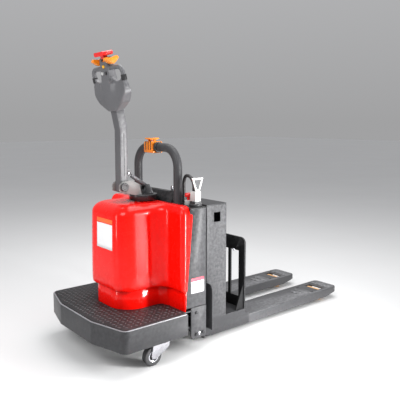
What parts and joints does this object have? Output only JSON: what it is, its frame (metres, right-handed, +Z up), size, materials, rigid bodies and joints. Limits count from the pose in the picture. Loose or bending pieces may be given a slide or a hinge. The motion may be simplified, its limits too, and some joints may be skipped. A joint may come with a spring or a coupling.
{
  "type": "electric pallet truck",
  "caption": "Rider pallet truck: platform, red drive hood, steering tiller with control head, grab bar, battery case, backrest and lifting forks on rollers.",
  "frame": {"origin": "on the floor, under the middle of the truck's overall length and width", "axes": "+X along the forks towards their tips, +Y to the left of the forks, +Z up"},
  "size_m": [1.85, 0.792, 1.5893],
  "materials": {
    "painted_black": "satin black powder coat",
    "hood_red": "gloss red moulded cover",
    "deck_trim": "satin dark grey",
    "tread": "black anti-slip rubber",
    "arch_coat": "dark grey sleeve",
    "black_plastic": "fine matt black",
    "grey_plastic": "light grey",
    "orange_plastic": "satin orange",
    "red_plastic": "gloss red",
    "green_plastic": "satin amber",
    "steel": "ground steel",
    "bright": "bright plated",
    "gas_spring_paint": "light grey",
    "cast": "rough grey casting",
    "motor": "satin black",
    "polyurethane": "tan polyurethane",
    "drive_rubber": "black tyre",
    "caster_zinc": "zinc plated",
    "caster_tread": "pale polyurethane",
    "cell": "blue-black cells",
    "cable": "black cable"
  },
  "bodies": {
    "chassis": {"chassis_frame": "painted_black", "steering_bearing": "steel", "side_plates": "painted_black", "side_panels": "painted_black", "top_deck": "deck_trim", "platform_deck": "painted_black", "platform_tread": "tread", "hood_skirt": "hood_red", "hood_shell": "hood_red", "hydraulic_unit": "motor", "controller": "painted_black", "lift_cylinders": "steel", "guide_channels": "painted_black", "console": "deck_trim", "key_switch": "black_plastic", "arch_bar": "arch_coat", "arch_pod": "orange_plastic", "estop_base": "grey_plastic", "connector_base": "black_plastic", "cable_gland": "tread", "chassis_bolts": "bright"},
    "turret": {"steering_column": "steel", "turret_disc": "steel", "tiller_bracket": "deck_trim", "drive_gearbox": "cast", "traction_motor": "motor"},
    "drive_wheel": {"drive_wheel": "cast", "drive_tyre": "drive_rubber"},
    "tiller": {"tiller_arm": "deck_trim", "tiller_head": "black_plastic", "rubber_grips": "tread"},
    "throttle": {"throttle_paddles": "orange_plastic"},
    "belly_button": {"belly_button": "red_plastic"},
    "lift_button": {"lift_button": "grey_plastic"},
    "lower_button": {"lower_button": "black_plastic"},
    "horn_button": {"horn_button": "green_plastic"},
    "gas_spring": {"gas_spring_body": "gas_spring_paint"},
    "gas_rod": {"gas_spring_rod": "bright"},
    "caster_left": {"caster_fork_left": "caster_zinc"},
    "caster_right": {"caster_fork_right": "caster_zinc"},
    "caster_wheel_left": {"caster_wheel_left": "caster_tread"},
    "caster_wheel_right": {"caster_wheel_right": "caster_tread"},
    "estop": {"estop_button": "red_plastic"},
    "key": {"ignition_key": "bright"},
    "arch_rocker": {"arch_rocker": "orange_plastic"},
    "plug": {"battery_plug": "grey_plastic", "battery_cable": "cable"},
    "carriage": {"carriage_frame": "painted_black", "load_backrest": "painted_black", "battery_case": "painted_black", "battery_pack": "cell", "fork_left": "painted_black", "fork_right": "painted_black", "lift_rams": "bright"},
    "battery_lid": {"battery_lid": "painted_black"},
    "load_arms": {"load_arms": "painted_black"},
    "load_roller_left": {"load_roller_left": "polyurethane"},
    "load_roller_right": {"load_roller_right": "polyurethane"},
    "push_rods": {"push_rods": "painted_black"},
    "rocker": {"rocker_shaft": "steel"}
  },
  "joints": [
    {"name": "steering", "type": "hinge", "parent": "chassis", "child": "turret", "pos_m": [-0.493, 0, 0.793], "axis": [0, 0, 1], "range_deg": [-80, 80]},
    {"name": "drive_spin", "type": "hinge", "parent": "turret", "child": "drive_wheel", "pos_m": [-0.493, 0, 0.125], "axis": [0, 1, 0], "continuous": true},
    {"name": "tiller_tilt", "type": "hinge", "parent": "turret", "child": "tiller", "pos_m": [-0.64, 0, 0.875], "axis": [0, -1, 0], "range_deg": [0, 70], "stiffness_Nm_per_rad": 60, "springref_deg": -22.92},
    {"name": "throttle_turn", "type": "hinge", "parent": "tiller", "child": "throttle", "pos_m": [-0.71985, 0, 1.53237], "axis": [0, 1, 0], "range_deg": [-30, 30], "stiffness_Nm_per_rad": 0.6},
    {"name": "belly_press", "type": "slide", "parent": "tiller", "child": "belly_button", "axis": [0.2504, 0, -0.9681], "range_m": [0, 0.007], "stiffness_N_per_m": 300, "springref_m": -0.01},
    {"name": "lift_button_press", "type": "slide", "parent": "tiller", "child": "lift_button", "axis": [0.9681, 0, 0.2504], "range_m": [0, 0.003], "stiffness_N_per_m": 400, "springref_m": -0.002},
    {"name": "lower_button_press", "type": "slide", "parent": "tiller", "child": "lower_button", "axis": [0.9681, 0, 0.2504], "range_m": [0, 0.003], "stiffness_N_per_m": 400, "springref_m": -0.002},
    {"name": "horn_button_press", "type": "slide", "parent": "tiller", "child": "horn_button", "axis": [0.9681, 0, 0.2504], "range_m": [0, 0.003], "stiffness_N_per_m": 400, "springref_m": -0.002},
    {"name": "gas_spring_swing", "type": "hinge", "parent": "turret", "child": "gas_spring", "pos_m": [-0.475, 0, 0.868], "axis": [0, -1, 0], "range_deg": [0, 12.7]},
    {"name": "gas_rod_slide", "type": "slide", "parent": "gas_spring", "child": "gas_rod", "axis": [-0.8406, 0, 0.5416], "range_m": [0, 0.092]},
    {"name": "caster_swivel_left", "type": "hinge", "parent": "chassis", "child": "caster_left", "pos_m": [-0.6, 0.329, 0.132], "axis": [0, 0, 1], "continuous": true},
    {"name": "caster_spin_left", "type": "hinge", "parent": "caster_left", "child": "caster_wheel_left", "pos_m": [-0.67, 0.329, 0.05], "axis": [0, 1, 0], "continuous": true},
    {"name": "caster_swivel_right", "type": "hinge", "parent": "chassis", "child": "caster_right", "pos_m": [-0.6, -0.329, 0.132], "axis": [0, 0, 1], "continuous": true},
    {"name": "caster_spin_right", "type": "hinge", "parent": "caster_right", "child": "caster_wheel_right", "pos_m": [-0.67, -0.329, 0.05], "axis": [0, 1, 0], "continuous": true},
    {"name": "estop_press", "type": "slide", "parent": "chassis", "child": "estop", "axis": [0, 0, -1], "range_m": [0, 0.005], "stiffness_N_per_m": 800, "springref_m": -0.002},
    {"name": "key_turn", "type": "hinge", "parent": "chassis", "child": "key", "pos_m": [-0.372, -0.105, 0.838], "axis": [0, 0, -1], "range_deg": [0, 90]},
    {"name": "arch_rocker_tilt", "type": "hinge", "parent": "chassis", "child": "arch_rocker", "pos_m": [-0.398, 0.048, 1.12], "axis": [0, 1, 0], "range_deg": [-12, 12], "stiffness_Nm_per_rad": 0.8},
    {"name": "plug_pull", "type": "slide", "parent": "chassis", "child": "plug", "axis": [0, 0, 1], "range_m": [0, 0.06]},
    {"name": "fork_lift", "type": "slide", "parent": "chassis", "child": "carriage", "axis": [0, 0, 1], "range_m": [0, 0.1]},
    {"name": "battery_lid_open", "type": "hinge", "parent": "carriage", "child": "battery_lid", "pos_m": [-0.133, 0, 0.763], "axis": [0, 1, 0], "range_deg": [0, 90]},
    {"name": "load_arm_swing", "type": "hinge", "parent": "carriage", "child": "load_arms", "pos_m": [0.635, 0, 0.042], "axis": [0, 1, 0], "range_deg": [0, 42.59]},
    {"name": "load_roller_spin_left", "type": "hinge", "parent": "load_arms", "child": "load_roller_left", "pos_m": [0.785, 0.191, 0.0365], "axis": [0, 1, 0], "continuous": true},
    {"name": "load_roller_spin_right", "type": "hinge", "parent": "load_arms", "child": "load_roller_right", "pos_m": [0.785, -0.191, 0.0365], "axis": [0, 1, 0], "continuous": true},
    {"name": "push_rod_slide", "type": "slide", "parent": "carriage", "child": "push_rods", "axis": [0.9998, 0, 0.0193], "range_m": [0, 0.01453]},
    {"name": "rocker_swing", "type": "hinge", "parent": "carriage", "child": "rocker", "pos_m": [-0.15, 0, 0.062], "axis": [0, -1, 0], "range_deg": [0, 51.6]}
  ],
  "couplings": [
    {"joint": "gas_spring_swing", "follows": "tiller_tilt", "ratio": 0.18},
    {"joint": "gas_rod_slide", "follows": "tiller_tilt", "m_per_rad": 0.074},
    {"joint": "load_arm_swing", "follows": "fork_lift", "rad_per_m": 7.434},
    {"joint": "push_rod_slide", "follows": "fork_lift", "ratio": 0.14528},
    {"joint": "rocker_swing", "follows": "fork_lift", "rad_per_m": 9.0059}
  ]
}
